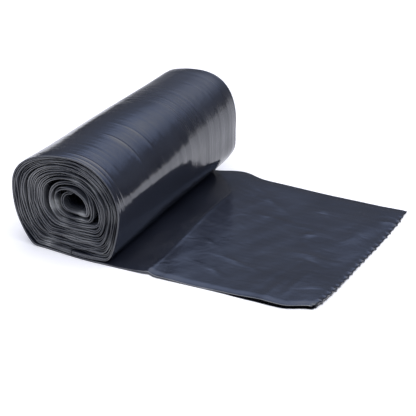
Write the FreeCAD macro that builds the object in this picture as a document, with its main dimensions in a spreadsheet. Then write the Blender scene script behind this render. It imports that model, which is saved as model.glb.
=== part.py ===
import FreeCAD, Part
import math
import os

# A roll of refuse sacks lying on its side, with its free end pulled out flat in front of it.
# The sacks are one flattened film tube, folded lengthwise into a narrow web, perforated across
# between sack and sack, and wound up without a core. Nothing joins one turn to the next, so the
# whole roll is a single long strip. It lies flat on the floor under the roll, climbs the roll's
# left side and winds inwards, clockwise as seen from the near end.
# +X runs along the free end, +Y runs from the roll's near end to its far end, +Z is up.
# The web is drawn from the near left corner of the flat spot that the roll rests on, and is then
# placed with the middle of that flat spot at the origin.

DRIVING_SIZES = [
    ("web_width", 250.0, "folded width of the web, which is the length of the roll"),
    ("web_thickness", 1.9, "height of the folded web with the air between its layers"),
    ("least_gap", 0.6, "smallest gap between two turns"),
    ("contact_length", 80.0, "length of the flat spot that the roll rests on"),
    ("left_bulge", 26.4, "how far the roll overhangs its flat spot on the left"),
    ("right_bulge", 12.8, "how far the roll overhangs its flat spot on the right"),
    ("roll_height", 103.0, "height of the roll at its near end"),
    ("top_offset", 34.8, "place of the highest point, from the left end of the flat spot"),
    ("left_height", 60.0, "height of the point furthest left"),
    ("right_height", 42.0, "height of the point furthest right"),
    ("band_left", 33.0, "thickness of the tight winding on the left"),
    ("band_top", 24.5, "thickness of the tight winding at the top"),
    ("band_right", 23.0, "thickness of the tight winding on the right"),
    ("band_bottom", 31.0, "thickness of the tight winding at the bottom"),
    ("slip_gap", 2.4, "extra gap on the left where two of the tight turns have slipped apart"),
    ("slack_left", 6.6, "gap between the tight winding and the loose core on the left"),
    ("slack_top", 3.6, "the same gap at the top"),
    ("slack_right", 7.0, "the same gap on the right"),
    ("slack_bottom", 2.4, "the same gap at the bottom"),
    ("core_left", 5.0, "thickness of the loose core on the left"),
    ("core_top", 8.0, "the same thickness at the top"),
    ("core_right", 6.4, "the same thickness on the right"),
    ("core_bottom", 5.2, "the same thickness at the bottom"),
    ("far_shift", 12.0, "how far the turns have slid to the right by the far end"),
    ("far_rise", 4.0, "how much higher the roll is at its far end"),
    ("tail_reach", 299.0, "place of the torn edge, from the left end of the flat spot"),
    ("crease_offset", 123.0, "place of the crease across the free end"),
    ("crease_height", 2.4, "height of that crease above the floor"),
    ("lift_height", 3.2, "height of the free end's last wave above the floor"),
    ("near_bow", 9.5, "how far the free end bows out past the roll's near end"),
    ("far_bow", 6.0, "how far it bows out past the roll's far end, beside the crease"),
    ("torn_bow", 6.0, "how far the torn edge bows out"),
    ("nib_pitch", 10.4, "pitch of the torn ties along the torn edge"),
    ("nib_width", 3.0, "width of a torn tie"),
    ("nib_length", 1.6, "how far a torn tie stands out"),
]

# Sharpness of a bend, as the power of a superellipse: 2 is round, and below 2 the bend
# is cut across, until 1 leaves a plain corner.
CORNER = 1.0
SLANTED = 1.75
ROUND = 2.0
FULL = 2.2
FOLDED = 2.5
# Where an inner turn's topmost, leftmost and rightmost points and the ends of its level run lie,
# as shares of its height or width from its lower left corner.
TOP_PLACE = 0.46
LEFT_PLACE = 0.56
RIGHT_PLACE = 0.26
FLAT_PLACES = (0.34, 0.86)
# The turn of the tight winding after which the slipped gap opens on the left.
SLIP_TURN = 4
# How far the web's inner end curls into the core's opening, as a share of the opening's size.
END_CURL = 0.2
# Points on each bend before the line is rounded, and its steps after that.
BEND_POINTS = 24
FINE_STEP = 0.5
ROUNDING = 3.0
LONG_STEP = 22.0
TURNING_STEP = math.radians(17)
POINTS_PER_EDGE = 2
# Where the free end's own solid starts and the wound web's stops, as shares of the flat spot.
TAIL_START = 0.45
SEAM = 0.7
# Half the width of the crease across the free end, how many times that its curve starts before it,
# and the steps of that curve and of the waves past it.
CREASE_REACH = 9.0
CREASE_FOOT = 2.5
CREASE_STEP = 6.0
CREASE_STEPS = 7
WAVE_STEPS = 7
SLOPE_STEP = 0.01
# The long wave of the free end rises between these shares of the way from crease to torn edge, and
# keeps these shares of its height at the torn edge's near and far corners.
WAVE_START = 0.35
WAVE_TOP = 0.85
NEAR_LIFT = 0.95
FAR_LIFT = 0.15
# How far the free end's blank reaches past the outline that it is cut to.
BLANK_MARGIN = 5.0
# The free end's outline beside its crease: the notch in the near edge, and on the far side the place
# where the bulge starts, how far back the bulge is highest, and how much narrower the web is there.
NOTCH_REACH = 4.0
BULGE_START = 2.0
BULGE_TOP = 15.0
BULGE_FOOT = 37.0
FOOT_DIP = 4.0
FAR_DIP = 1.5


class Sizes:
    """The driving sizes as read back from the spreadsheet's cells."""

    def __init__(self, sheet):
        for alias, _, _ in DRIVING_SIZES:
            setattr(self, alias, float(sheet.get(alias)))


def make_sheet(doc):
    """The spreadsheet that holds every driving size, with its meaning beside it."""
    sheet = doc.addObject("Spreadsheet::Sheet", "sizes")
    for row, (alias, value, meaning) in enumerate(DRIVING_SIZES, start=1):
        sheet.set(f"A{row}", meaning)
        sheet.set(f"B{row}", str(value))
        sheet.setAlias(f"B{row}", alias)
    doc.recompute()
    return sheet


def mix(first, last, share):
    return first + (last - first) * share


def smooth_step(share):
    """0 up to 0, 1 from 1 on, and a cubic S between them."""
    share = min(max(share, 0.0), 1.0)
    return share**2 * (3 - 2 * share)


def inset_turn(turn, left, top, right, bottom):
    """The turn that lies inside another one by a given distance on each side."""
    inner = dict(turn)
    inner["left"] += left
    inner["top"] -= top
    inner["right"] -= right
    inner["bottom"] += bottom
    width = inner["right"] - inner["left"]
    height = inner["top"] - inner["bottom"]
    inner["top_x"] = inner["left"] + TOP_PLACE * width
    inner["left_z"] = inner["bottom"] + LEFT_PLACE * height
    inner["right_z"] = inner["bottom"] + RIGHT_PLACE * height
    inner["flat_left"] = inner["left"] + FLAT_PLACES[0] * width
    inner["flat_right"] = inner["left"] + FLAT_PLACES[1] * width
    inner["left_bend"] = SLANTED
    inner["right_bend"] = FOLDED
    return inner


def turns_between(first, last, count):
    """Evenly spaced turns from the first to the last, both included."""
    shares = [number / max(count - 1, 1) for number in range(count)]
    return [{key: mix(first[key], last[key], share) for key in first} for share in shares]


def turns_in(thinnest, s):
    """How many turns fit in a band at its thinnest side."""
    spare = max(thinnest - s.web_thickness, 0.0)
    return 1 + int(spare / (s.web_thickness + s.least_gap) + 1e-6)


def winding_turns(s):
    """The middle line of every turn, from the outermost to the web's inner end."""
    half = s.web_thickness / 2
    first = dict(
        left=-s.left_bulge + half,
        right=s.contact_length + s.right_bulge - half,
        bottom=half,
        top=s.roll_height - half,
        top_x=s.top_offset,
        left_z=s.left_height,
        right_z=s.right_height,
        flat_left=0.0,
        flat_right=s.contact_length,
        left_bend=CORNER,
        right_bend=ROUND,
    )
    bands = [s.band_left, s.band_top, s.band_right, s.band_bottom]
    slacks = [s.slack_left, s.slack_top, s.slack_right, s.slack_bottom]
    cores = [s.core_left, s.core_top, s.core_right, s.core_bottom]
    tight_last = inset_turn(first, *[band - s.web_thickness for band in bands])
    core_first = inset_turn(tight_last, *[slack + s.web_thickness for slack in slacks])
    core_last = inset_turn(core_first, *[core - s.web_thickness for core in cores])
    curl_across = END_CURL * (core_last["right"] - core_last["left"])
    curl_up = END_CURL * (core_last["top"] - core_last["bottom"])
    inner_end = inset_turn(core_last, curl_across, curl_up, curl_across, curl_up)

    slip_pitch = s.slip_gap / max(turns_in(min(bands), s) - 1, 1)
    tight = turns_between(first, tight_last, turns_in(min(bands), s))
    for number, turn in enumerate(tight):
        turn["left"] -= slip_pitch * number
        if number >= SLIP_TURN:
            turn["left"] += s.slip_gap
    core = turns_between(core_first, core_last, turns_in(min(cores), s))
    return tight + core + [inner_end]


def bend(start, end, start_is_level, power_across, power_up):
    """A quarter turn between a level stretch and an upright one, without its first point."""
    points = []
    for number in range(1, BEND_POINTS + 1):
        angle = math.pi / 2 * number / BEND_POINTS
        rise, fall = math.sin(angle), max(math.cos(angle), 0.0)
        if start_is_level:
            across, up = rise ** (2 / power_across), 1 - fall ** (2 / power_up)
        else:
            across, up = 1 - fall ** (2 / power_across), rise ** (2 / power_up)
        points.append((mix(start[0], end[0], across), mix(start[1], end[1], up)))
    return points


def middle_line(s):
    """The web's middle line in the plane of the near end, from the floor to its inner end."""
    turns = winding_turns(s)
    line = [(ROUNDING, turns[0]["bottom"])]
    for turn, following in zip(turns, turns[1:] + [None]):
        floor = (turn["flat_left"], turn["bottom"])
        left = (turn["left"], turn["left_z"])
        top = (turn["top_x"], turn["top"])
        line.append(floor)
        line += bend(floor, left, True, turn["left_bend"], ROUND)
        line += bend(left, top, False, FULL, FULL)
        if following is None:
            break
        right = (turn["right"], turn["right_z"])
        under = (turn["flat_right"], following["bottom"])
        line += bend(top, right, True, ROUND, ROUND)
        line += bend(right, under, False, turn["right_bend"], turn["right_bend"])
    return line


def evenly_spaced(line, step):
    """The same line with points at even steps along it."""
    spaced = [line[0]]
    to_go = step
    for (x0, z0), (x1, z1) in zip(line, line[1:]):
        length = math.hypot(x1 - x0, z1 - z0)
        done = 0.0
        while length - done >= to_go:
            done += to_go
            spaced.append((mix(x0, x1, done / length), mix(z0, z1, done / length)))
            to_go = step
        to_go -= length - done
    return spaced


def rounded(line, reach):
    """The line with its corners rounded: each point becomes the mean of those within reach."""
    sums = [(0.0, 0.0)]
    for x, z in line:
        sums.append((sums[-1][0] + x, sums[-1][1] + z))
    smooth = []
    for number in range(len(line)):
        spread = min(reach, number, len(line) - 1 - number)
        low, high = sums[number - spread], sums[number + spread + 1]
        count = 2 * spread + 1
        smooth.append(((high[0] - low[0]) / count, (high[1] - low[1]) / count))
    return smooth


def heading(line, number):
    """Direction of the line at a point, from its neighbours."""
    before, after = line[max(number - 1, 0)], line[min(number + 1, len(line) - 1)]
    length = math.hypot(after[0] - before[0], after[1] - before[1])
    return (after[0] - before[0]) / length, (after[1] - before[1]) / length


def stations(line):
    """Numbers of the points to keep: few where the line is straight, more where it bends."""
    kept = [0]
    progress = 0.0
    last = heading(line, 0)
    for number in range(1, len(line)):
        way = heading(line, number)
        turning = abs(math.atan2(last[0] * way[1] - last[1] * way[0], last[0] * way[0] + last[1] * way[1]))
        progress += FINE_STEP / LONG_STEP + turning / TURNING_STEP
        last = way
        if progress >= 1 or number == len(line) - 1:
            kept.append(number)
            progress = 0.0
    return kept


def growth(s, share):
    """How many times larger the roll's section is, at a share of the way to the far end."""
    return 1 + share * s.far_rise / s.roll_height


def skin_place(line, number, side, s, share):
    """Place of a point on one skin of the web. Side 1 is the skin that lies on the floor."""
    along_x, along_z = heading(line, number)
    offset = side * s.web_thickness / 2
    x, z = line[number][0] - along_z * offset, line[number][1] + along_x * offset
    scale = growth(s, share)
    return FreeCAD.Vector(scale * x + share * s.far_shift, share * s.web_width, scale * z)


def smooth_edges(places, ways, steps):
    """A curve through the places with the given headings, as short edges that meet smoothly.

    The steps set its pace, so that the curves at both ends of the roll keep level with each other.
    """
    edges = []
    for first in range(0, len(places) - 1, POINTS_PER_EDGE):
        last = min(first + POINTS_PER_EDGE, len(places) - 1)
        curve = Part.BSplineCurve()
        curve.interpolate(
            Points=places[first : last + 1],
            Parameters=steps[first : last + 1],
            InitialTangent=ways[first],
            FinalTangent=ways[last],
            Scale=False,
        )
        edges.append(curve.toShape())
    return edges


def skin_edges(line, kept, side, s, share):
    """One skin of the wound web at a share of the way from the near end to the far end."""
    ways = []
    for number in kept:
        before = skin_place(line, max(number - 1, 0), side, s, share)
        after = skin_place(line, min(number + 1, len(line) - 1), side, s, share)
        ways.append((after - before).normalize())
    places = [skin_place(line, number, side, s, share) for number in kept]
    return smooth_edges(places, ways, [number * FINE_STEP for number in kept])


def straight(start, end):
    return Part.LineSegment(start, end).toShape()


def winding_section(s, share):
    """Closed outline of the wound web at a share of the way from the near end to the far end."""
    line = rounded(evenly_spaced(middle_line(s), FINE_STEP), int(ROUNDING / FINE_STEP))
    kept = stations(line)
    low, high = [skin_place(line, 0, side, s, share) for side in (1, -1)]
    end_low, end_high = [skin_place(line, len(line) - 1, side, s, share) for side in (1, -1)]
    seam = growth(s, share) * SEAM * s.contact_length + share * s.far_shift
    seam_low = FreeCAD.Vector(seam, low.y, low.z)
    seam_high = FreeCAD.Vector(seam, high.y, high.z)
    edges = [straight(seam_low, low)]
    edges += skin_edges(line, kept, 1, s, share)
    edges.append(straight(end_low, end_high))
    edges += skin_edges(line, kept, -1, s, share)[::-1]
    edges += [straight(high, seam_high), straight(seam_high, seam_low)]
    return Part.Wire(edges)


def tail_height(s, x, lifted):
    """Height of the free end's underside: a crease, then a wave that a lifted corner carries on."""
    crease = s.crease_height * math.exp(-(((x - s.crease_offset) / CREASE_REACH) ** 2))
    run = s.tail_reach - s.crease_offset
    past = (x - s.crease_offset) / run
    wave = smooth_step((past - WAVE_START) / (WAVE_TOP - WAVE_START))
    settled = smooth_step((past - WAVE_TOP) / (1 - WAVE_TOP))
    return crease + s.lift_height * wave * (1 - (1 - lifted) * settled)


def tail_section(s, y, lifted):
    """Closed outline of the free end across its thickness, level until it is clear of the roll."""
    start = TAIL_START * s.contact_length
    end = s.tail_reach + s.torn_bow + s.nib_length + BLANK_MARGIN
    foot = s.crease_offset - CREASE_FOOT * CREASE_REACH
    past_crease = foot + CREASE_STEPS * CREASE_STEP
    steps = [foot + number * CREASE_STEP for number in range(CREASE_STEPS)]
    steps += [mix(past_crease, end, number / WAVE_STEPS) for number in range(WAVE_STEPS + 1)]
    heights = [(x, tail_height(s, x, lifted) - tail_height(s, foot, lifted)) for x in steps]
    slopes = [(tail_height(s, x + SLOPE_STEP, lifted) - tail_height(s, x, lifted)) / SLOPE_STEP for x in steps]
    ways = [FreeCAD.Vector(1, 0, slope) for slope in slopes]
    high = s.web_thickness * growth(s, y / s.web_width)
    low_skin, high_skin = [], []
    for skin, lift in ((low_skin, 0.0), (high_skin, high)):
        skin.append(straight(FreeCAD.Vector(start, y, lift), FreeCAD.Vector(foot, y, lift)))
        skin += smooth_edges([FreeCAD.Vector(x, y, z + lift) for x, z in heights], ways, steps)
    ends = [skin[-1].Vertexes[-1].Point for skin in (low_skin, high_skin)]
    starts = [skin[0].Vertexes[0].Point for skin in (high_skin, low_skin)]
    return Part.Wire(low_skin + [straight(*ends)] + high_skin[::-1] + [straight(*starts)])


def torn_edge(s, y):
    """How far the torn edge reaches at a distance from the near end: it bows out, sooner near it."""
    return s.tail_reach + s.torn_bow * math.sin(math.pi * math.sqrt(y / s.web_width))


def torn_outline(s):
    """Points along the torn edge, with a short tie left standing at each hole of the perforation."""
    points = [(torn_edge(s, 0.0), 0.0)]
    count = int(s.web_width / s.nib_pitch)
    margin = (s.web_width - (count - 1) * s.nib_pitch) / 2
    for number in range(count):
        y = margin + number * s.nib_pitch
        for side, out in ((-0.5, 0), (-0.25, 1), (0.25, 1), (0.5, 0)):
            across = y + side * s.nib_width
            points.append((torn_edge(s, across) + out * s.nib_length, across))
    points.append((torn_edge(s, s.web_width), s.web_width))
    return points


def tail_plan(s):
    """The free end's outline seen from above, as lines and arcs in order.

    Its places along x are mostly shares of the way from the crease to the torn edge, and how far its
    edges stand out are shares of their bows.
    """
    crease, reach, width = s.crease_offset, s.tail_reach, s.web_width
    start = (TAIL_START * s.contact_length, 0.0)
    near_crease = (crease, -0.55 * s.near_bow)
    notch = (crease + NOTCH_REACH, -0.25 * s.near_bow)
    widest = (mix(crease, reach, 0.84), -s.near_bow)
    torn = torn_outline(s)
    far_dip = (mix(crease, reach, 0.35), width - FAR_DIP)
    far_crease = (crease + BULGE_START, width + 0.85 * s.far_bow)
    far_foot = (crease - BULGE_FOOT, width - FOOT_DIP)
    arcs = [
        (start, (0.58 * crease, -0.62 * s.near_bow), near_crease),
        (notch, (mix(crease, reach, 0.4), -0.92 * s.near_bow), widest),
        (widest, (mix(crease, reach, 0.96), -0.6 * s.near_bow), torn[0]),
        (far_dip, (mix(crease, reach, 0.14), width + 0.35 * s.far_bow), far_crease),
        (far_crease, (crease - BULGE_TOP, width + s.far_bow), far_foot),
    ]
    lines = [(near_crease, notch), (torn[-1], far_dip), (far_foot, (start[0], width))]
    lines += [((start[0], width), start)] + list(zip(torn, torn[1:]))
    shapes = []
    for points in arcs:
        shapes.append(Part.Arc(*[FreeCAD.Vector(x, y, 0) for x, y in points]))
    for points in lines:
        shapes.append(Part.LineSegment(*[FreeCAD.Vector(x, y, 0) for x, y in points]))
    return shapes


def wire_object(doc, name, wire):
    feature = doc.addObject("Part::Feature", name)
    feature.Shape = wire
    return feature


def loft_object(doc, name, sections):
    """A solid ruled straight from the section at one end to the section at the other."""
    loft = doc.addObject("Part::Loft", name)
    loft.Sections = sections
    loft.Solid = True
    loft.Ruled = True
    return loft


def make_wound_web(doc, s):
    near = wire_object(doc, "near_turns", winding_section(s, 0.0))
    far = wire_object(doc, "far_turns", winding_section(s, 1.0))
    return loft_object(doc, "wound_web", [near, far])


def make_tail_blank(doc, s):
    """The free end before its outline is cut: wider than the web and longer than its reach."""
    near_y = -s.near_bow - BLANK_MARGIN
    far_y = s.web_width + s.far_bow + BLANK_MARGIN
    near = wire_object(doc, "near_waves", tail_section(s, near_y, NEAR_LIFT))
    far = wire_object(doc, "far_waves", tail_section(s, far_y, FAR_LIFT))
    return loft_object(doc, "tail_blank", [near, far])


def make_tail_outline(doc, s):
    """A block of the free end's outline, tall enough to take in all its waves."""
    body = doc.addObject("PartDesign::Body", "tail_outline")
    sketch = body.newObject("Sketcher::SketchObject", "tail_plan")
    floor = [plane for plane in body.Origin.OriginFeatures if plane.Role == "XY_Plane"][0]
    sketch.AttachmentSupport = [(floor, "")]
    sketch.MapMode = "FlatFace"
    sketch.addGeometry(tail_plan(s), False)
    pad = body.newObject("PartDesign::Pad", "tail_block")
    pad.Profile = sketch
    pad.SideType = "Symmetric"
    pad.setExpression("Length", "4 * (sizes.crease_height + sizes.lift_height + sizes.web_thickness)")
    return body


def make_web(doc, s):
    """The whole web as one solid: the free end cut to its outline, joined to the wound turns."""
    tail = doc.addObject("Part::Common", "tail")
    tail.Base = make_tail_blank(doc, s)
    tail.Tool = make_tail_outline(doc, s)
    web = doc.addObject("Part::Fuse", "web")
    web.Base = make_wound_web(doc, s)
    web.Tool = tail
    web.Refine = True
    web.Label = "bin_bag_web"
    web.setExpression("Placement.Base.x", "-(sizes.contact_length + sizes.far_shift) / 2")
    web.setExpression("Placement.Base.y", "-sizes.web_width / 2")
    return web


def check_document(doc, parts):
    """Stop if any feature failed or any part is not one valid solid."""
    for item in doc.Objects:
        if "Invalid" in item.State or "Error" in item.State:
            raise RuntimeError(f"{item.Name} failed: {item.State}")
    for part in parts:
        if part.Shape.isNull() or not part.Shape.isValid() or len(part.Shape.Solids) != 1:
            raise RuntimeError(f"{part.Label} is not one valid solid")


def main():
    doc = FreeCAD.newDocument("bin_bag_roll")
    sizes = Sizes(make_sheet(doc))
    parts = [make_web(doc, sizes)]
    doc.recompute()
    check_document(doc, parts)
    os.makedirs("parts", exist_ok=True)
    for part in parts:
        part.Shape.exportStep(f"parts/{part.Label}.step")
        box = part.Shape.BoundBox
        print(part.Label, "volume", round(part.Shape.Volume), "box", box)


main()
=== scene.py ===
"""A roll of refuse sacks on its side, with its free end pulled out flat in front of it.

The whole roll is one folded film web. It is drawn here as two surfaces that share one middle
line: the free end with the outermost turn, and all the turns inside it. Both are worked out in
millimetres in the plane of the roll's near end, with x along the free end and z up, and are
carried along y to the far end, where the roll leans over and is a little higher.
"""
import math

import bpy
import numpy as np
from mathutils import Matrix, Vector


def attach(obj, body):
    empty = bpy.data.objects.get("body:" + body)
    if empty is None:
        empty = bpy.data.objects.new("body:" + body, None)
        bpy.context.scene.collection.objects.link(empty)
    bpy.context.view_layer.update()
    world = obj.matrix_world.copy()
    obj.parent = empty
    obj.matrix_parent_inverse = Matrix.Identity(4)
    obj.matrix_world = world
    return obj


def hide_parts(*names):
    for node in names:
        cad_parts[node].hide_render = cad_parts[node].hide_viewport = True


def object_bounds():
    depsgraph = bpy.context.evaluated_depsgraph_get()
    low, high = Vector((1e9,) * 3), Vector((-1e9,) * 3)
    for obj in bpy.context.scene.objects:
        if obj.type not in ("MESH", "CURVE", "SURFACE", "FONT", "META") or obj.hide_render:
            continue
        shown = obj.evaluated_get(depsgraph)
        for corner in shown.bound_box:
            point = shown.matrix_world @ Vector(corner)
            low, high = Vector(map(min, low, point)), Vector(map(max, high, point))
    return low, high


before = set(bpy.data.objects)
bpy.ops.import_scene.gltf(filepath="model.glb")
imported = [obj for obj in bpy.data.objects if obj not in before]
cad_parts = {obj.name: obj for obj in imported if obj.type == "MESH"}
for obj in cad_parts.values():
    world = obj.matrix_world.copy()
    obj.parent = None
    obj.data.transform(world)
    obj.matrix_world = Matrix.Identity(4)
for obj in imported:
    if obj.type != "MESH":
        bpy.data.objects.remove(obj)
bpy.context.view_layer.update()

NODE = "bin_bag_web"
MM = 0.001

# Sizes of the web and of the roll's near end, in millimetres, as in the part's source.
WEB_WIDTH = 250.0
WEB_THICKNESS = 1.9
CONTACT_LENGTH = 80.0
LEFT_BULGE = 26.4
RIGHT_BULGE = 12.8
ROLL_HEIGHT = 103.0
TOP_OFFSET = 34.8
LEFT_HEIGHT = 60.0
RIGHT_HEIGHT = 42.0
BAND = (33.0, 24.5, 23.0, 31.0)
SLACK = (6.6, 3.6, 7.0, 2.4)
CORE = (5.0, 8.0, 6.4, 5.2)
TIGHT_TURNS = 9
CORE_TURNS = 2
SLIP_GAP = 2.4
SLIP_TURN = 4
END_CURL = 0.2
FAR_SHIFT = 12.0

# Sharpness of a bend, as the power of a superellipse: 2 is round and 1 is a plain corner.
CORNER, SLANTED, ROUND, FULL, FOLDED = 1.35, 1.75, 2.0, 2.2, 2.5
# Points to a bend, and the step and the smoothing of the whole middle line.
BEND_POINTS = 24
FINE_STEP = 0.5
ROUNDING = 3.0

# How the far end stands: leaning to the right, higher, and bulging low down on the right, at a height
# and from one x to another.
FAR_LEAN = 0.254
FAR_RISE = 0.0738
FAR_BULGE = 6.0
BULGE_HEIGHT, BULGE_REACH = 26.0, 16.0
BULGE_STRETCH = (30.0, 85.0)
# The left shoulder, which is full at the near end and flattened at the far one. Here and below, a place
# is x and z, and a way is how far the form moves in x and z for each millimetre of its size.
NEAR_FLATTENING = -1.8
FAR_FLATTENING = 7.8
FLATTENED = (-20.0, 80.0)
FLATTENED_REACH = 27.0
FLATTENED_WAY = (0.72, -0.69)
# The ridge above it, and the fuller right shoulder, both at the far end.
FAR_RIDGE = 1.3
RIDGE = (1.0, 96.5)
RIDGE_REACH = 9.0
RIDGE_WAY = (-0.35, 0.9)
FAR_SHOULDER = 2.2
SHOULDER = (60.0, 92.0)
SHOULDER_REACH = 26.0
SHOULDER_WAY = (0.6, 0.8)
# The fuller right side of the near half.
SIDE_SWELL = 1.6
SIDE_SWELL_HEIGHT, SIDE_SWELL_REACH = 63.0, 14.0
SIDE_SWELL_STRETCH = (60.0, 84.0)
NEAR_HALF = (5.0, 40.0, 110.0, 190.0)
# Where the near face stands forward: up to which x, the heights over which that fades, and how deep
# into the roll it goes.
FACE_X = 80.0
FACE_HEIGHTS = (6.0, 62.0)
FACE_DEPTH = 60.0

# The free end: its reach, the crease across it, its lift, and the share of the wrinkles' heights that
# is used.
TAIL_REACH = 299.0
CREASE_OFFSET = 123.0
CREASE_HEIGHT = 2.2
CREASE_SIDES = (16.0, 24.0)
CREASE_FOLD = 0.3
CREASE_FOLD_REACH = 2.2
LIFT_HEIGHT = 3.2
WRINKLE_SHARE = 0.62
# Its torn edge, with the torn ties of the perforation.
TORN_BOW = 6.0
TORN_FULLNESS = 2.6
TORN_STRETCH = 30.0
TIE_PITCH = 10.4
TIE_WIDTH = 2.4
TIE_SLOPE = 0.3
TIE_LENGTH = 1.15

# The slit in the near rim between the web's two films, and the thickness of each film beside it.
SLIT_DEPTH = 9.0
LEAF = 0.45
# Where the two films start to part towards the torn edge, and where they are apart.
PARTING = (180.0, 225.0)
# How far the lower film stands out there, the middle of that, and how far to each side it reaches.
LEDGE = 1.5
LEDGE_X, LEDGE_REACH = 231.0, 20.0
LEDGE_DEPTH = 14.0

# The roll's near rim: its drop, and the places across, the heights and the middle of its two ridges.
RIM_DROP = 0.35
RIM_RIDGES = (10.8, 5.0)
RIM_RIDGE_HEIGHTS = (0.05, 0.5)
RIM_RIDGE_MIDDLE, RIM_RIDGE_REACH = 484.0, 36.0
# Thin ridges round the top of the roll: place across the web, and height.
ARCS = [(66.0, 0.3), (92.0, 0.16)]

# Stretches along the web: where each starts, is full, starts to ease, and ends.
TOP_STRETCH = (440.0, 462.0, 490.0, 515.0)
RIGHT_STRETCH = (470.0, 500.0, 560.0, 585.0)
LOOSE_RIM = (430.0, 460.0, 575.0, 600.0)
# The same from the start of the inner turns, for the loose part of the first one, and where that ends.
LOOSE_TURN = (140.0, 190.0, 275.0, 305.0)
FIRST_TURN_END = (330.0, 345.0)
# Passes of the middle line that lie further apart along it than this are different turns.
TURN_APART = 60.0

# Step of the two surfaces along the web, where the first one hands over to the second, how far they
# overlap there, how much fuller both are there, and where the first one grows to that before its end.
STATION_STEP = 2.0
HANDOVER_X = 42.0
OVERLAP = 1.0
START_FULLNESS = 0.9
FILLING = (60.0, 20.0)
# The most that an inner turn stands out from its middle line, and the same for the first of them.
THICKEST = 1.6
THICKEST_FIRST = 2.3
# Closest that two points across the web may lie, and the unit of the web's map.
LEAST_GAP = 0.1
CHART_UNIT = 100.0

# The middle of the roll's flat spot, which is the row's origin.
ORIGIN = np.array([(CONTACT_LENGTH + FAR_SHIFT) / 2, WEB_WIDTH / 2, 0.0])


def mix(first, last, share):
    return first + (last - first) * share


def smooth_step(value, start, end):
    """0 before start, 1 after end, and a cubic S between them."""
    share = np.clip((value - start) / (end - start), 0.0, 1.0)
    return share**2 * (3 - 2 * share)


def bell(value, centre, reach):
    """exp(-((value - centre) / reach)^2)."""
    return np.exp(-(((value - centre) / reach) ** 2))


def plateau(value, start, full, easing, end):
    """0 before start, 1 between full and easing, and 0 after end, with a cubic S on either side."""
    return smooth_step(value, start, full) * (1 - smooth_step(value, easing, end))


def patch(x, z, place, reach):
    """Round bell about a place: exp(-(distance / reach)^2)."""
    return bell(x, place[0], reach) * bell(z, place[1], reach)


def waves(across, along, rows, seed):
    """Sum of plane sine waves, four for each row of (wavelength across, wavelength along, height).

    Phases, directions and a stretch of 0.75 to 1.3 on each wavelength are drawn from the seed.
    """
    rng = np.random.default_rng(seed)
    total = np.zeros(np.broadcast(across, along).shape)
    for length_across, length_along, height in rows:
        for _ in range(4):
            stretch = rng.uniform(0.75, 1.3, 2)
            way = rng.choice([-1.0, 1.0])
            phase = rng.uniform(0, 1)
            cycles = across / (length_across * stretch[0]) + way * along / (length_along * stretch[1])
            total = total + 0.5 * height * np.sin(2 * math.pi * (cycles + phase))
    return total


# The middle line


def inset_turn(turn, left, top, right, bottom):
    """The turn that lies inside another one by a given distance on each side."""
    inner = dict(turn)
    inner["left"] += left
    inner["top"] -= top
    inner["right"] -= right
    inner["bottom"] += bottom
    width = inner["right"] - inner["left"]
    height = inner["top"] - inner["bottom"]
    inner["top_x"] = inner["left"] + 0.46 * width
    inner["left_z"] = inner["bottom"] + 0.56 * height
    inner["right_z"] = inner["bottom"] + 0.26 * height
    inner["flat_left"] = inner["left"] + 0.34 * width
    inner["flat_right"] = inner["right"] - 0.14 * width
    inner["left_bend"] = SLANTED
    inner["right_bend"] = FOLDED
    return inner


def turns_between(first, last, count):
    """Evenly spaced turns from the first to the last, both included."""
    shares = [number / (count - 1) for number in range(count)]
    return [{key: mix(first[key], last[key], share) for key in first} for share in shares]


def winding_turns():
    """The middle line of every turn, from the outermost to the web's inner end."""
    half = WEB_THICKNESS / 2
    first = dict(
        left=-LEFT_BULGE + half,
        right=CONTACT_LENGTH + RIGHT_BULGE - half,
        bottom=half,
        top=ROLL_HEIGHT - half,
        top_x=TOP_OFFSET,
        left_z=LEFT_HEIGHT,
        right_z=RIGHT_HEIGHT,
        flat_left=0.0,
        flat_right=CONTACT_LENGTH,
        left_bend=CORNER,
        right_bend=ROUND,
    )
    tight_last = inset_turn(first, *[band - WEB_THICKNESS for band in BAND])
    core_first = inset_turn(tight_last, *[slack + WEB_THICKNESS for slack in SLACK])
    core_last = inset_turn(core_first, *[core - WEB_THICKNESS for core in CORE])
    curl_across = END_CURL * (core_last["right"] - core_last["left"])
    curl_up = END_CURL * (core_last["top"] - core_last["bottom"])
    inner_end = inset_turn(core_last, curl_across, curl_up, curl_across, curl_up)
    tight = turns_between(first, tight_last, TIGHT_TURNS)
    for number, turn in enumerate(tight):
        turn["left"] -= SLIP_GAP / (TIGHT_TURNS - 1) * number
        turn["left"] += SLIP_GAP if number >= SLIP_TURN else 0.0
    return tight + turns_between(core_first, core_last, CORE_TURNS) + [inner_end]


def bend(start, end, start_is_level, power_across, power_up):
    """A quarter of a superellipse from a level stretch to an upright one, or back, less its start."""
    angle = np.linspace(0, math.pi / 2, BEND_POINTS + 1)[1:]
    rise, fall = np.sin(angle), np.maximum(np.cos(angle), 0.0)
    if start_is_level:
        across, up = rise ** (2 / power_across), 1 - fall ** (2 / power_up)
    else:
        across, up = 1 - fall ** (2 / power_across), rise ** (2 / power_up)
    return np.column_stack([mix(start[0], end[0], across), mix(start[1], end[1], up)])


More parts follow.
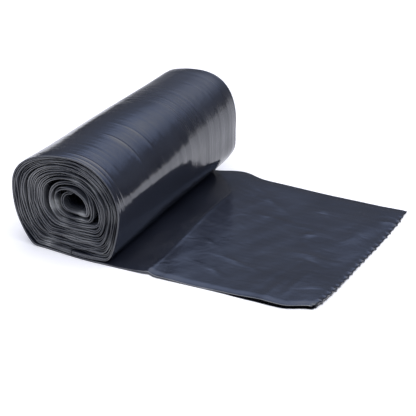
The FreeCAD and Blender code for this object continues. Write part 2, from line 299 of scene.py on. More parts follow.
def middle_line():
    """The web's middle line in the plane of the near end, from the torn edge to the inner end."""
    turns = winding_turns()
    parts = [[(TAIL_REACH, turns[0]["bottom"])]]
    for turn, following in zip(turns, turns[1:] + [None]):
        floor = (turn["flat_left"], turn["bottom"])
        left = (turn["left"], turn["left_z"])
        top = (turn["top_x"], turn["top"])
        parts += [[floor], bend(floor, left, True, turn["left_bend"], ROUND)]
        parts.append(bend(left, top, False, FULL, FULL))
        if following is not None:
            right = (turn["right"], turn["right_z"])
            under = (turn["flat_right"], following["bottom"])
            parts.append(bend(top, right, True, ROUND, ROUND))
            parts.append(bend(right, under, False, turn["right_bend"], turn["right_bend"]))
    return np.concatenate(parts)


def spaced(line, step):
    """The line with points at even steps along it."""
    length = np.concatenate([[0.0], np.cumsum(np.hypot(*np.diff(line, axis=0).T))])
    marks = np.arange(0.0, length[-1], step)
    return np.column_stack([np.interp(marks, length, line[:, axis]) for axis in (0, 1)])


def rounded(line, reach):
    """The line with each point moved to the mean of those within reach, ends kept."""
    window = np.ones(2 * reach + 1) / (2 * reach + 1)
    longer = np.pad(line, ((reach, reach), (0, 0)), mode="reflect", reflect_type="odd")
    return np.column_stack([np.convolve(longer[:, axis], window, "valid") for axis in (0, 1)])


def outward(line):
    """Unit vectors square to the line, to the side that lies on the floor along the free end."""
    way = np.gradient(line, axis=0)
    way /= np.hypot(way[:, 0], way[:, 1])[:, None]
    return np.column_stack([-way[:, 1], way[:, 0]])


class Stations:
    """Points of the middle line at even steps: place, outward normal and length along the web."""

    def __init__(self, line, normal, first, last):
        number = np.arange(first, last, int(STATION_STEP / FINE_STEP))
        self.place = line[number]
        self.normal = normal[number]
        self.along = number * FINE_STEP


# From the near end's plane to the row


def near_edge(x):
    """y of the free end's edge on the near side: steps and bells added up.

    It stands forward past the roll, is notched at the crease, and swings back at the torn edge.
    """
    bow = -7.6 * smooth_step(x, -10.0, 70.0)
    notch = 2.0 * bell(x, 128.0, 4.0) - 2.0 * smooth_step(x, 120.0, 140.0)
    return bow + notch - 2.5 * bell(x, 266.0, 20.0) + 8.2 * smooth_step(x, 272.0, 299.0)


def near_face(x, z):
    """y of the roll's near face: its lower right stands forward, flush with the free end's edge."""
    return near_edge(np.minimum(x, FACE_X)) * (1 - smooth_step(z, *FACE_HEIGHTS))


def in_the_row(x, y, z):
    """Row places in metres of points given in the near end's plane, at their y.

    Towards the far end the roll leans right by FAR_LEAN of the height, is FAR_RISE higher and bulges low
    down on the right. Each other form is a bell about its place, times its size and its way.
    """
    share = y / WEB_WIDTH
    bulge = FAR_BULGE * bell(z, BULGE_HEIGHT, BULGE_REACH) * smooth_step(x, *BULGE_STRETCH)
    side = SIDE_SWELL * plateau(y, *NEAR_HALF) * bell(z, SIDE_SWELL_HEIGHT, SIDE_SWELL_REACH)
    side = side * smooth_step(x, *SIDE_SWELL_STRETCH)
    flattening = mix(NEAR_FLATTENING, FAR_FLATTENING, share) * patch(x, z, FLATTENED, FLATTENED_REACH)
    ridge = FAR_RIDGE * share * patch(x, z, RIDGE, RIDGE_REACH)
    shoulder = FAR_SHOULDER * share**2 * patch(x, z, SHOULDER, SHOULDER_REACH)
    forms = [(flattening, FLATTENED_WAY), (ridge, RIDGE_WAY), (shoulder, SHOULDER_WAY)]
    rightward = share * (FAR_LEAN * z + bulge) + side + sum(size * way[0] for size, way in forms)
    upward = FAR_RISE * share * z + sum(size * way[1] for size, way in forms)
    return (np.stack([x + rightward, y, z + upward], axis=-1) - ORIGIN) * MM


def closed_strip(name, places, along, across, looks, end_faces):
    """Mesh from rings of points, one ring a station, joined into a tube with its two ends closed.

    along and across are the map of each point. looks are the values its material reads:
    pale_edge_and_painted_light is 1 or more on a pale film edge and more at a painted highlight, and
    0 on the lower film's rim where painted shade falls; pulled is the strength of the streaks that
    winding pulls into the film, and dulled is roughness that is added there.
    """
    rows, ring = places.shape[:2]
    corner = np.arange(rows * ring).reshape(rows, ring)
    beside = np.roll(corner, -1, axis=1)
    sides = np.stack([corner[:-1], beside[:-1], beside[1:], corner[1:]], axis=-1).reshape(-1, 4)
    faces = sides.tolist()
    faces += end_faces(corner[0])
    faces += [face[::-1] for face in end_faces(corner[-1])]
    mesh = bpy.data.meshes.new(name)
    mesh.from_pydata(places.reshape(-1, 3), [], faces)
    mesh.polygons.foreach_set("use_smooth", np.ones(len(faces), bool))
    layer = mesh.uv_layers.new(name="web_map")
    loops = np.zeros(len(mesh.loops), dtype=np.int32)
    mesh.loops.foreach_get("vertex_index", loops)
    chart = np.stack([along, across], axis=-1).reshape(-1, 2) / CHART_UNIT
    layer.uv.foreach_set("vector", chart[loops].ravel())
    for look, values in looks.items():
        mesh.attributes.new(look, "FLOAT", "POINT").data.foreach_set("value", values.ravel())
    mesh.update()
    return mesh


def add_piece(mesh, material):
    """A piece with its mesh's name, in place of the CAD node."""
    piece = bpy.data.objects.new(mesh.name, mesh)
    bpy.context.scene.collection.objects.link(piece)
    mesh.materials.append(material)
    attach(piece, "root")
    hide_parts(NODE)


def slit_ends(ring):
    """Faces that close a ring whose second half runs back beside its first half.

    Beside the slit each film has a face of its own. Past it a row of quads joins the two halves.
    """
    half = len(ring) // 2
    there, back = ring[:half], ring[half:][::-1]
    leaf = int(np.count_nonzero(columns() < SLIT_DEPTH)) + 2
    leaves = [there[: leaf + 1][::-1].tolist(), back[: leaf + 1].tolist()]
    between = [[int(there[leaf]), int(there[0]), int(back[0]), int(back[leaf])]]
    past = np.stack([there[leaf + 1 :], there[leaf:-1], back[leaf:-1], back[leaf + 1 :]], axis=-1)
    return leaves + between + past.tolist()


def one_end(ring):
    """One face that closes a ring."""
    return [ring[::-1].tolist()]


# The free end and the outermost turn


def columns():
    """Places across the web, from 0 to its width: close at both rims, and four to a torn tie."""
    rounding = np.array([0.0, 0.12, 0.4, 0.8])
    rim = np.concatenate([rounding, np.arange(1.2, 15.6, 0.5)])
    centres = np.arange(1.5 * TIE_PITCH, WEB_WIDTH - 1.2 * TIE_PITCH, TIE_PITCH)
    root, tip = TIE_WIDTH / 2 + TIE_SLOPE, TIE_WIDTH / 2 - TIE_SLOPE
    ties = (centres[:, None] + np.array([-root, -tip, tip, root])).ravel()
    far_rim = np.array([10.0, 7.0, 4.5, 2.5, 1.4])
    arcs = np.concatenate([place + np.array([-1.4, -0.7, 0.0, 0.7, 1.4]) for place, _ in ARCS])
    places = np.unique(np.concatenate([rim, ties, arcs, WEB_WIDTH - far_rim, WEB_WIDTH - rounding]))
    return places[np.diff(places, prepend=-1.0) > LEAST_GAP]


def tie_length(v):
    """How far the torn edge stands out: a flat-topped tie at every pitch."""
    phase = np.abs((v / TIE_PITCH) % 1.0 - 0.5) * TIE_PITCH
    length = TIE_LENGTH * (0.7 + 0.35 * np.sin(1.9 * np.floor(v / TIE_PITCH)))
    half = TIE_WIDTH / 2 - 0.01
    return length * (1 - smooth_step(phase, half - TIE_SLOPE, half + TIE_SLOPE))


def torn_edge(v):
    """How far the web reaches past its straight end: a bow, fuller on the far side, and the ties."""
    bow = TORN_BOW * np.sin(math.pi * np.sqrt(v / WEB_WIDTH))
    fuller = TORN_FULLNESS * smooth_step(v, 90.0, 190.0) * (1 - 0.5 * smooth_step(v, 215.0, 245.0))
    return bow + fuller + tie_length(v)


def far_edge(x):
    """y of the free end's edge on the far side, past the web's width: bells and steps added up."""
    edge = -4.0 * bell(x, 84.0, 10.0) + 7.0 * bell(x, 114.0, 18.0) - 2.5 * smooth_step(x, 150.0, 220.0)
    return edge - 2.2 * smooth_step(x, 105.0, 140.0) + 1.5 * smooth_step(x, 270.0, 299.0)


# Wrinkles of the free end: middle (x, v), heading in degrees from +x, half length, half width, height.
WRINKLES = [
    (214.0, 232.0, -38.0, 9.0, 2.4, 0.9),
    (226.0, 206.0, 12.0, 8.0, 2.2, 0.8),
    (233.0, 196.0, -55.0, 9.0, 2.4, -0.8),
    (205.0, 168.0, -8.0, 30.0, 3.0, 0.7),
    (232.0, 150.0, 20.0, 9.0, 2.4, 0.9),
    (236.0, 132.0, -30.0, 8.0, 2.2, -0.6),
    (256.0, 108.0, -4.0, 26.0, 3.2, 0.8),
    (262.0, 96.0, -20.0, 14.0, 2.4, -0.5),
    (196.0, 64.0, -16.0, 26.0, 2.8, 0.7),
    (176.0, 40.0, -22.0, 20.0, 2.6, 0.6),
    (150.0, 92.0, -30.0, 16.0, 2.6, 0.5),
    (286.0, 40.0, 4.0, 10.0, 2.4, 0.8),
    (292.0, 214.0, 10.0, 9.0, 2.4, 0.7),
    (148.0, 224.0, -34.0, 26.0, 3.4, 0.8),
    (168.0, 204.0, -26.0, 24.0, 3.0, 0.6),
    (252.0, 30.0, 84.0, 24.0, 3.4, 0.7),
    (266.0, 44.0, 88.0, 30.0, 3.4, 0.6),
    (246.0, 60.0, 80.0, 36.0, 4.0, -0.5),
]


def wrinkle_height(x, v):
    """Sum of the wrinkles: each is a long low bell, exp(-(along/length)^2 - (across/width)^2).

    Its middle is a shallow parabola, bent by 0.06 of its length.
    """
    total = 0.0
    for middle_x, middle_v, heading, length, width, height in WRINKLES:
        turn = math.radians(heading)
        along = (x - middle_x) * math.cos(turn) + (v - middle_v) * math.sin(turn)
        across = (v - middle_v) * math.cos(turn) - (x - middle_x) * math.sin(turn)
        across = across + 0.06 * along**2 / length
        total = total + height * np.exp(-((along / length) ** 2) - (across / width) ** 2)
    return total


def tail_lift(x, v):
    """How far the free end's upper film stands above the part that lies on the floor.

    A crease across the web, exp(-distance / side) with a thin fold along its top, a long wave beyond it
    that the lifted near corner carries on, wrinkles and shallow ripples, all of them dying away under
    the roll and at the far edge.
    """
    run = TAIL_REACH - CREASE_OFFSET
    crease_x = CREASE_OFFSET + 3.0 - 5.0 * v / WEB_WIDTH + 1.5 * np.sin(v / 31.0)
    side = np.where(x < crease_x, *CREASE_SIDES)
    crease = CREASE_HEIGHT * np.exp(-np.abs((x - crease_x) / side))
    crease = crease + CREASE_FOLD * bell(x, crease_x, CREASE_FOLD_REACH)
    crease = crease * (1 - 0.85 * smooth_step(v, 140.0, 235.0))
    wave = smooth_step(x, CREASE_OFFSET + 0.35 * run, CREASE_OFFSET + 0.85 * run)
    settle = smooth_step(x, CREASE_OFFSET + 0.85 * run, TAIL_REACH)
    lifted = mix(0.95, 0.15, smooth_step(v, 10.0, 0.7 * WEB_WIDTH))
    raised = LIFT_HEIGHT * mix(1.0, 0.5, smooth_step(v, 20.0, 120.0))
    lift = crease + raised * wave * (1 - (1 - lifted) * settle)
    ripple = waves(x, v, [(60.0, 110.0, 0.3), (31.0, 70.0, 0.1)], seed=11)
    ripple = ripple + WRINKLE_SHARE * wrinkle_height(x, v)
    pressed = mix(0.05, 1.0, smooth_step(WEB_WIDTH - v, 1.0, 60.0))
    return np.maximum((lift + ripple) * smooth_step(x, 88.0, 118.0) * pressed, -0.7)


def rim_wobble(along):
    """How far the outermost turn's near rim strays: drawn back where the turn is loose."""
    return waves(along, 0.0, [(70.0, 1.0, 0.35)], seed=5) + 1.2 * plateau(along, *LOOSE_RIM)


def rim_steps(v, along):
    """Drop of the outer surface towards the near rim, less a ridge over each film edge under it.

    The ridges are bells across the web that stray a little, and are highest at the top right.
    """
    drop = RIM_DROP * (1 - smooth_step(v, 2.0, 12.0))
    height = mix(*RIM_RIDGE_HEIGHTS, bell(along, RIM_RIDGE_MIDDLE, RIM_RIDGE_REACH))
    for number, place in enumerate(RIM_RIDGES):
        edge = place + waves(along, 0.0, [(60.0 + 15 * number, 1.0, 0.6)], seed=20 + number)
        drop = drop - height * bell(v, edge, 1.0)
    return drop


def outer_swell(v, along):
    """How far the outermost turn stands out from its middle line's true place.

    Sine waves: long ones, streaks, and ripples gathered at the far right. Then the thin ridges on the
    top, and the drop of the far rim.
    """
    long_waves = waves(v, along, [(210.0, 420.0, 0.3), (80.0, 260.0, 0.07)], seed=3)
    streaks = waves(v, along, [(21.0, 420.0, 0.03)], seed=4)
    gathered = plateau(along, *RIGHT_STRETCH) * mix(0.12, 1.0, smooth_step(v, 60.0, 190.0))
    ripples = gathered * waves(v, along, [(9.0, 260.0, 0.07), (17.0, 320.0, 0.14)], seed=6)
    arcs = plateau(along, *TOP_STRETCH) * sum(height * bell(v, place, 0.9) for place, height in ARCS)
    far_rim = 0.5 * (1 - smooth_step(WEB_WIDTH - v, 1.0, 9.0))
    return long_waves + streaks + ripples + arcs - far_rim


def outer_dullness(v, along, roll):
    """Roughness added to the outer surface: a little on the free end, and most far along the top."""
    top = roll * (1 - smooth_step(along, 490.0, 530.0))
    return mix(0.04, 0.0, roll) + top * mix(0.03, 0.17, smooth_step(v, 90.0, 210.0))


# Painted highlights on the near face, as paler stretches of film edge: x, z and reach.
PAINTED_HIGHLIGHT_SPOTS = [
    (43.0, 79.0, 5.0),
    (18.6, 11.8, 5.0),
    (14.0, 6.5, 4.0),
    (31.3, 32.0, 4.0),
    (19.5, 47.7, 4.5),
    (49.5, 42.5, 3.5),
    (84.0, 22.0, 4.0),
]


def painted_highlight_spots(x, z):
    """Up to 5 in the middle of a painted highlight, and 0 away from them: round bells added up."""
    return 5.0 * sum(patch(x, z, (spot_x, spot_z), reach) for spot_x, spot_z, reach in PAINTED_HIGHLIGHT_SPOTS)


def slit_and_skins(v):
    """The ring across the web: into the slit of the near rim and out, one skin, and the other back.

    Returns the places across, which skin each one is of (-1 the upper one, 1 the one on the floor),
    and 1 for the points inside the slit.
    """
    one_skin = np.concatenate([[SLIT_DEPTH, 0.0], v])
    in_slit = np.concatenate([[1.0, 1.0], np.zeros(len(v))])
    there = np.arange(len(one_skin))
    order = np.concatenate([there, there[::-1]])
    return one_skin[order], np.repeat([-1.0, 1.0], len(one_skin)), in_slit[order]


def lower_rim(v, upper):
    """1 at the near rim of the lower skin, falling to 0 in LEDGE_DEPTH, and 0 on the upper skin."""
    return (1 - upper) * (1 - smooth_step(v, 0.0, LEDGE_DEPTH))


def make_outer(line, normal, handover, material):
    """The free end and the outermost turn: a flat tube of two skins, slit along its near rim.

    Each point is its station's place, moved out by half the web's thickness on its own side, rounded to
    a circle at both rims and thinned at the torn edge, plus the swell of the roll or the lift of the
    free end.
    """
    stations = Stations(line, normal, 0, handover)
    v, side, in_slit = slit_and_skins(columns())
    upper = (1 - side) / 2
    to_rim = np.minimum(v, WEB_WIDTH - v)
    x, z = stations.place[:, :1], stations.place[:, 1:]
    nx, nz = stations.normal[:, :1], stations.normal[:, 1:]
    along = stations.along[:, None] + 0 * v
    x = x + torn_edge(v) * smooth_step(-along, -TORN_STRETCH, 0.0)

    on_tail = 1 - smooth_step(along, TAIL_REACH - 5.0, TAIL_REACH)
    roll = smooth_step(along, TAIL_REACH - 10.0, TAIL_REACH + 25.0)
    spread = smooth_step(x, 60.0, 110.0) * on_tail
    parted = smooth_step(x, *PARTING) * on_tail

    fullness = np.sqrt(np.clip(1 - (1 - np.minimum(to_rim, 1.0)) ** 2, 0.0, 1.0))
    taper = mix(0.3, 1.0, smooth_step(along, 0.0, 4.0))
    half = WEB_THICKNESS / 2 * mix(0.45, 1.0, fullness) * taper
    half = mix(half, np.where(v > 1.0, 0.05, 0.12) * half, in_slit)
    before_end, filled = FILLING
    fills = smooth_step(along, along[-1] - before_end, along[-1] - filled)
    fills = START_FULLNESS * (1 - in_slit) * fills
    out = side * (half + fills) + roll * (outer_swell(v, along) - rim_steps(v, along))
    film_end = side * taper * (WEB_THICKNESS / 2 - LEAF)
    out = np.where((in_slit > 0) & (v < 1.0), mix(out, film_end, spread), out)

    thinned = spread * upper * WEB_THICKNESS * mix(0.35, 0.0, smooth_step(to_rim, 1.0, 10.0))
    raised = tail_lift(x, v)
    lift = on_tail * upper * raised * smooth_step(x, 0.0, 40.0) - thinned
    lift = lift + in_slit * (1 - upper) * on_tail * np.maximum(raised, 0.0) * (1 - parted)

    rim = roll * (rim_wobble(along) + near_face(x, z)) * (1 - smooth_step(v, 0.0, FACE_DEPTH))
    y = v + (1 - roll) * mix(near_edge(x), far_edge(x), v / WEB_WIDTH) + rim
    ledge = LEDGE * lower_rim(v, upper) * bell(x, LEDGE_X, LEDGE_REACH) * on_tail
    places = in_the_row(x + nx * out, y - ledge, np.maximum(z + nz * out + lift, 0.0))

    # Pale film edges, paler still at the painted highlights of the near face.
    edge = np.clip(1 - to_rim / 1.2, 0.0, 1.0) * (1 - in_slit) * (1 + painted_highlight_spots(x, z))
    # Painted shade: where the films part, the lower film's rim loses its pale edge, as if shaded by the
    # upper film above it.
    edge = edge * (1 - parted * lower_rim(v, upper)) * mix(1.0, 0.6, roll)
    looks = {
        "pale_edge_and_painted_light": edge,
        "pulled": mix(0.08, 1.0, roll) + 0 * v,
        "dulled": outer_dullness(v, along, roll),
    }
    mesh = closed_strip("free_end_and_outer_turn", places, along, v + 0 * along, looks, slit_ends)
    add_piece(mesh, material)


# The turns inside


def room_beside(place, along):
    """Distance from each station to the nearest pass outside it, and to the nearest one inside."""
    apart = np.hypot(*(place[:, None] - place[None]).transpose(2, 0, 1))
    later = along[None] - along[:, None]
    outside = np.where(later < -TURN_APART, apart, np.inf).min(axis=1)
    inside = np.where(later > TURN_APART, apart, np.inf).min(axis=1)
    return outside, inside


def evened(values, reach):
    """Moving mean of the values."""
    window = np.ones(2 * reach + 1) / (2 * reach + 1)
    return np.convolve(np.pad(values, reach, mode="edge"), window, "valid")


def film_comb(tips, grooves, slits, at_near):
    """Outline of the film edges at one end of the web, from the outer skin to the inner one.

    The web's height is shared by as many leaves as there are tips. Each leaf has a rounded tip, and a
    groove as wide as its slit parts it from the next. Returns shares of the height (1 outside, 0
    inside) and y values.
    """
    leaves = len(tips)
    way = 1.0 if at_near else -1.0
    shares, ys = [], []
    for number, tip in enumerate(tips):
        top = 1 - number / leaves - (slits[number - 1] / 2 if number else 0.0) + 0 * tip
        low = 1 - (number + 1) / leaves + (slits[number] / 2 if number + 1 < leaves else 0.0) + 0 * tip
        shares += [top, mix(low, top, 0.8), mix(low, top, 0.2), low]
        ys += [tip + 0.5 * way, tip, tip, tip + 0.5 * way]
        if number + 1 < leaves:
            shares += [low, low - slits[number]]
            ys += [grooves[number]] * 2
    return shares, ys


def core_recess(to_end):
    """How far the innermost film draws back from the near end, by the length left to the web's end.

    A cubic S over the last 60 mm, and two bells before it.
    """
    drawn = 7.0 * (1 - smooth_step(to_end, 0.0, 60.0))
    return drawn + 5.0 * bell(to_end, 120.0, 30.0) + 3.0 * bell(to_end, 215.0, 25.0)


def leaf_recesses(along, rows, seed):
    """How far each of a turn's two leaves draws back at one end: sine waves, their lows turned up."""
    return [np.abs(waves(along, 0.0, rows, seed=seed + leaf)) for leaf in range(2)]


def turn_halves(stations, every, since_start):
    """How far the film reaches outwards and inwards from each station's middle line.

    It goes half way to the next turn on each side, less the slack between them, and in the first turn
    up to the surface outside it, less a gap. THICKEST and THICKEST_FIRST are the most that it may be.
    """
    outside, inside = room_beside(every.place, every.along)
    outside = np.interp(stations.along, every.along, outside)
    inside = np.interp(stations.along, every.along, np.where(np.isinf(inside), 10.0, inside))
    first_turn = 1 - smooth_step(since_start, *FIRST_TURN_END)
    gap = mix(0.5, 2.1, plateau(since_start, *LOOSE_TURN))
    slack = 0.42 + waves(stations.along, 0.0, [(130.0, 1.0, 0.3), (37.0, 1.0, 0.16)], seed=33)
    slack = np.clip(slack, 0.1, 1.0)
    half_out = mix(outside / 2 - slack, outside - WEB_THICKNESS / 2 - gap, first_turn)
    half_out = np.minimum(half_out, mix(THICKEST, THICKEST_FIRST, first_turn))
    half_in = np.minimum(inside / 2 - slack, THICKEST)
    return evened(half_out, 3), evened(half_in, 3)


def make_inner(line, normal, handover, material):
    """Every turn inside the outermost one: a strip whose two ends show the edges of its leaves."""
    stations = Stations(line, normal, handover - int(OVERLAP / FINE_STEP), len(line))
    every = Stations(line, normal, 0, len(line))
    along = stations.along
    since_start = along - along[0]
    started = smooth_step(since_start, 2.0, 40.0)
    at_start = WEB_THICKNESS / 2 + START_FULLNESS
    halves = turn_halves(stations, every, since_start)
    half_out, half_in = [mix(at_start, half, started) for half in halves]

    turn_slip = waves(along, 0.0, [(420.0, 1.0, 1.0), (120.0, 1.0, 0.5)], seed=31)
    core = core_recess(along[-1] - along)
    recesses = leaf_recesses(along, [(150.0, 1.0, 1.5), (41.0, 1.0, 0.8)], 40)
    tips = [mix(rim_wobble(along), 1.4 + turn_slip + recess + core, started) for recess in recesses]
    depth = np.clip(7.0 + waves(along, 0.0, [(90.0, 1.0, 2.0)], seed=50), 3.0, 13.0)
    slit = np.clip(0.16 + waves(along, 0.0, [(170.0, 1.0, 0.1), (53.0, 1.0, 0.05)], seed=52), 0.03, 0.34)
    near_shares, near_ys = film_comb(tips, [np.maximum(*tips) + depth], [slit], True)
    far_recesses = leaf_recesses(along, [(150.0, 1.0, 0.9), (47.0, 1.0, 0.5)], 60)
    far_tips = [WEB_WIDTH - 1.0 + 0.5 * turn_slip - recess for recess in far_recesses]
    far_shares, far_ys = film_comb(far_tips, [np.minimum(*far_tips) - 5.0], [slit], False)

    flat = np.zeros_like(along)
    between = [26.0, 75.0, 125.0, 180.0, 232.0]
    skin_out, skin_in = [flat + 1.0] * len(between), [flat] * len(between)
    share = np.stack(skin_out + near_shares + skin_in + far_shares[::-1], axis=1)
    out_ys, in_ys = [flat + v for v in between[::-1]], [flat + v for v in between]
    y = np.stack(out_ys + near_ys + in_ys + far_ys[::-1], axis=1)
    out = mix(-half_in[:, None], half_out[:, None], share)
    x = stations.place[:, :1] + stations.normal[:, :1] * out
    z = stations.place[:, 1:] + stations.normal[:, 1:] * out
    y = y + near_face(x, z) * (1 - smooth_step(y, 0.0, FACE_DEPTH))

    on_skin, on_comb = [0.0] * len(between), [1.0] * 4 + [0.0] * 2 + [1.0] * 4
    # Pale edges of the leaves at both ends, paler still at the painted highlights of the near face.
    edge = np.array(on_skin + on_comb + on_skin + on_comb)[None, :] * (1 + painted_highlight_spots(x, z))
    looks = {"pale_edge_and_painted_light": edge, "pulled": 1.0 + 0 * y, "dulled": 0 * y}
    mesh = closed_strip("inner_turns", in_the_row(x, y, z), along[:, None] + 0 * y, y, looks, one_end)
    add_piece(mesh, material)


# Materials


def new_material(name):
    material = bpy.data.materials.new(name)
    material.use_nodes = True
    material.node_tree.nodes.clear()
    return material, material.node_tree.nodes, material.node_tree.links


def add_node(nodes, kind, **inputs):
    """A shader node with the given inputs set, whose names have spaces for underscores."""
    node = nodes.new(kind)
    for name, value in inputs.items():
        node.inputs[name.replace("_", " ")].default_value = value
    return node


def noise_at(tree, place, **inputs):
    """Strength of a noise that is read at a place."""
    nodes, links = tree
    noise = add_node(nodes, "ShaderNodeTexNoise", **inputs)
    links.new(place, noise.inputs["Vector"])
    return noise.outputs["Fac"]


def moved(tree, place, **inputs):
    """The place scaled and shifted."""
    nodes, links = tree
    mapping = add_node(nodes, "ShaderNodeMapping", **inputs)
    links.new(place, mapping.inputs["Vector"])
    return mapping.outputs["Vector"]


def ranged(tree, value, **inputs):
    """The value mapped from one range to another."""
    nodes, links = tree
    mapping = add_node(nodes, "ShaderNodeMapRange", **inputs)
    links.new(value, mapping.inputs["Value"])
    return mapping.outputs["Result"]


def attribute(tree, name):
    """A value that the mesh carries at its points."""
    node = tree[0].new("ShaderNodeAttribute")
    node.attribute_name = name
    return node.outputs["Fac"]


def worked_out(tree, operation, *terms, clamp=False):
    """Result of one sum or product, whose terms are numbers or other nodes' outputs."""
    nodes, links = tree
    node = nodes.new("ShaderNodeMath")
    node.operation = operation
    node.use_clamp = clamp
    for socket, term in zip(node.inputs, terms):
        if isinstance(term, float):
            socket.default_value = term
        else:
            links.new(term, socket)
    return node.outputs["Value"]


def bumped(tree, height, strength, distance, under=None):
    """Normal of the surface with a bump of the given height, on top of another one."""
    nodes, links = tree
    bump = add_node(nodes, "ShaderNodeBump", Distance=distance)
    if isinstance(strength, float):
        bump.inputs["Strength"].default_value = strength
    else:
        links.new(strength, bump.inputs["Strength"])
    links.new(height, bump.inputs["Height"])
    if under is not None:
        links.new(under, bump.inputs["Normal"])
    return bump.outputs["Normal"]


def film_colour(tree, place, edge):
    """Dark blue in soft clouds of two tones, and pale grey in patches along the cut edges, brighter at
    the painted highlights of the near face and left out where painted shade falls on a film's rim.
    """
    nodes, links = tree
    tone = nodes.new("ShaderNodeValToRGB")
    deep, light = tone.color_ramp.elements
    deep.position, deep.color = 0.3, (0.0125, 0.0142, 0.0215, 1)
    light.position, light.color = 0.7, (0.021, 0.0238, 0.034, 1)
    links.new(noise_at(tree, place, Scale=16.0, Detail=3.0), tone.inputs["Fac"])
    patches = noise_at(tree, place, Scale=38.0, Detail=1.0)
    patches = ranged(tree, patches, From_Min=0.46, From_Max=0.72, To_Min=0.1, To_Max=0.45)
    paler = nodes.new("ShaderNodeMix")
    paler.data_type = "RGBA"
    share, first, second = paler.inputs[0], paler.inputs[6], paler.inputs[7]
    links.new(worked_out(tree, "MULTIPLY", edge, patches, clamp=True), share)
    links.new(tone.outputs["Color"], first)
    second.default_value = (0.34, 0.34, 0.325, 1)
    return paler.outputs[2]


def film_material():
    """Dark blue film: glossy, streaked along the web, with soft creases and paler cut edges, which also
    carry painted highlights and painted shade.
    """
    material, nodes, links = new_material("film")
    tree = nodes, links
    shader = add_node(nodes, "ShaderNodeBsdfPrincipled", IOR=1.75)
    output = nodes.new("ShaderNodeOutputMaterial")
    links.new(shader.outputs["BSDF"], output.inputs["Surface"])

    chart = nodes.new("ShaderNodeUVMap")
    chart.uv_map = "web_map"
    web_map = chart.outputs["UV"]
    place = nodes.new("ShaderNodeTexCoord").outputs["Object"]
    edge = attribute(tree, "pale_edge_and_painted_light")
    links.new(film_colour(tree, place, edge), shader.inputs["Base Color"])

    stretched = moved(tree, web_map, Scale=(0.9, 22.0, 1.0))
    streaks = noise_at(tree, stretched, Scale=1.0, Detail=3.0, Roughness=0.55)
    gloss = ranged(tree, streaks, From_Min=0.3, From_Max=0.7, To_Min=0.09, To_Max=0.2)
    rougher = worked_out(tree, "MULTIPLY_ADD", edge, 0.15, gloss)
    duller = worked_out(tree, "ADD", rougher, attribute(tree, "dulled"))
    links.new(duller, shader.inputs["Roughness"])

    creases = noise_at(tree, place, Scale=55.0, Detail=2.0, Distortion=0.8)
    thin = moved(tree, web_map, Scale=(0.7, 60.0, 1.0), Location=(3.0, 7.0, 0.0))
    scores = ranged(tree, noise_at(tree, thin, Scale=1.0, Detail=1.0), From_Min=0.66, From_Max=0.74)
    strength = worked_out(tree, "MULTIPLY", attribute(tree, "pulled"), 0.5)
    soft = bumped(tree, creases, 0.25, 0.0012)
    drawn = bumped(tree, streaks, strength, 0.0006, soft)
    links.new(bumped(tree, scores, strength, 0.0001, drawn), shader.inputs["Normal"])
    return material


# Stage


FLOOR_GLOW = 0.24
FLOOR_HALF_SIDE = 8.0


def floor_material():
    """White studio floor. The room's light on it keeps the shadow, and a little glow lifts it to white.

    The glow is there for the camera and for what the film reflects or lets through.
    """
    material, nodes, links = new_material("studio_floor")
    tree = nodes, links
    matt = add_node(nodes, "ShaderNodeBsdfDiffuse", Color=(0.90, 0.88, 0.86, 1))
    glow = nodes.new("ShaderNodeEmission")
    path = nodes.new("ShaderNodeLightPath")
    seen = worked_out(
        tree, "ADD", path.outputs["Is Camera Ray"], path.outputs["Is Glossy Ray"], clamp=True
    )
    seen = worked_out(tree, "ADD", seen, path.outputs["Is Transmission Ray"], clamp=True)
    links.new(worked_out(tree, "MULTIPLY", seen, FLOOR_GLOW), glow.inputs["Strength"])
    both = nodes.new("ShaderNodeAddShader")
    links.new(matt.outputs["BSDF"], both.inputs[0])
    links.new(glow.outputs["Emission"], both.inputs[1])
    output = nodes.new("ShaderNodeOutputMaterial")
    links.new(both.outputs["Shader"], output.inputs["Surface"])
    return material


def make_floor():
    """One square, level with the lowest point of the part."""
    half = FLOOR_HALF_SIDE
    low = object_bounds()[0].z
    mesh = bpy.data.meshes.new("studio_floor")
    corners = [(-half, -half, low), (half, -half, low), (half, half, low), (-half, half, low)]
    mesh.from_pydata(corners, [], [(0, 1, 2, 3)])
    mesh.materials.append(floor_material())
    floor = bpy.data.objects.new("studio_floor", mesh)
    bpy.context.scene.collection.objects.link(floor)


# Light of the room by height, the sine of its elevation above the horizon, in red, green and blue.
ROOM = [
    (0.03, (0.06, 0.06, 0.065)),
    (0.20, (0.07, 0.07, 0.08)),
    (0.28, (0.14, 0.15, 0.18)),
    (0.43, (0.12, 0.135, 0.175)),
    (0.50, (0.23, 0.28, 0.42)),
    (0.57, (0.44, 0.55, 0.87)),
    (0.66, (0.60, 0.70, 1.00)),
    (0.78, (1.10, 1.15, 1.25)),
    (0.88, (1.80, 1.80, 1.95)),
]
BACKDROP = (0.95, 0.95, 0.95)
OVERHEAD = (1.8, 1.8, 1.95)
ROOM_STRENGTH = 1.2


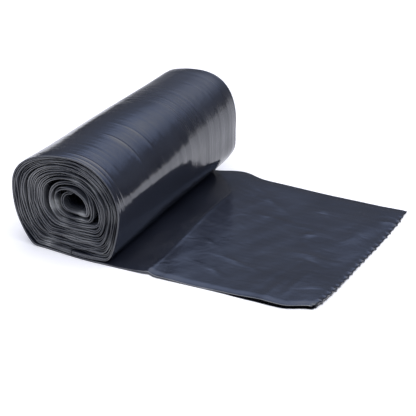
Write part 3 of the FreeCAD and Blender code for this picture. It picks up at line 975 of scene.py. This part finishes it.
def make_world():
    """Soft light from overhead, a dim room round it, and a white backdrop low down.

    The light is a function of height above the horizon alone, and the camera sees plain white.
    """
    world = bpy.data.worlds.new("studio")
    bpy.context.scene.world = world
    world.use_nodes = True
    nodes, links = world.node_tree.nodes, world.node_tree.links
    nodes.clear()
    way = nodes.new("ShaderNodeTexCoord")
    split = nodes.new("ShaderNodeSeparateXYZ")
    links.new(way.outputs["Generated"], split.inputs["Vector"])
    ramp = nodes.new("ShaderNodeValToRGB")
    stops = ramp.color_ramp.elements
    stops[0].position, stops[0].color = 0.0, (*BACKDROP, 1)
    stops[1].position, stops[1].color = 1.0, (*OVERHEAD, 1)
    for height, colour in ROOM:
        stops.new(height).color = (*colour, 1)
    links.new(split.outputs["Z"], ramp.inputs["Fac"])
    light = add_node(nodes, "ShaderNodeBackground", Strength=ROOM_STRENGTH)
    links.new(ramp.outputs["Color"], light.inputs["Color"])
    white = add_node(nodes, "ShaderNodeBackground", Color=(1, 1, 1, 1))
    path = nodes.new("ShaderNodeLightPath")
    choice = nodes.new("ShaderNodeMixShader")
    links.new(path.outputs["Is Camera Ray"], choice.inputs["Fac"])
    links.new(light.outputs["Background"], choice.inputs[1])
    links.new(white.outputs["Background"], choice.inputs[2])
    output = nodes.new("ShaderNodeOutputWorld")
    links.new(choice.outputs["Shader"], output.inputs["Surface"])


# The camera: the point it looks at, its distance in metres, its turn from the row, its look down and its
# roll in radians, and its lens in millimetres.
CAMERA_TARGET = Vector((0.09554, -0.02304, 0.030))
CAMERA_DISTANCE = 2.97093
CAMERA_TURN = -0.4206
CAMERA_DROP = 0.4414
CAMERA_ROLL = 0.0278
CAMERA_LENS = 256.5


def make_camera():
    """A long lens from the near right, looking down on the roll."""
    turn, drop, roll = CAMERA_TURN, CAMERA_DROP, CAMERA_ROLL
    level = math.cos(drop)
    ahead = Vector((math.sin(turn) * level, math.cos(turn) * level, -math.sin(drop)))
    right = Vector((math.cos(turn), -math.sin(turn), 0.0))
    up = right.cross(ahead)
    rolled_right = right * math.cos(roll) + up * math.sin(roll)
    rolled_up = up * math.cos(roll) - right * math.sin(roll)
    data = bpy.data.cameras.new("camera")
    data.lens = CAMERA_LENS
    data.sensor_width = 36.0
    data.clip_end = 100.0
    camera = bpy.data.objects.new("camera", data)
    bpy.context.scene.collection.objects.link(camera)
    axes = Matrix((rolled_right, rolled_up, -ahead)).transposed().to_4x4()
    camera.matrix_world = Matrix.Translation(CAMERA_TARGET - ahead * CAMERA_DISTANCE) @ axes
    bpy.context.scene.camera = camera


def handover_number(line):
    """Number of the middle line's point, low under the second turn, where the surfaces meet."""
    past_first_turn = int((TAIL_REACH + CONTACT_LENGTH + 100.0) / FINE_STEP)
    low_run = np.arange(len(line)) > past_first_turn
    low_run &= (line[:, 0] < HANDOVER_X) & (line[:, 1] < 10.0)
    return int(np.argmax(low_run))


def main():
    film = film_material()
    line = rounded(spaced(middle_line(), FINE_STEP), int(ROUNDING / FINE_STEP))
    normal = outward(line)
    handover = handover_number(line)
    make_outer(line, normal, handover, film)
    make_inner(line, normal, handover, film)
    make_floor()
    make_world()
    make_camera()
    bpy.context.scene.view_settings.view_transform = "Standard"


main()
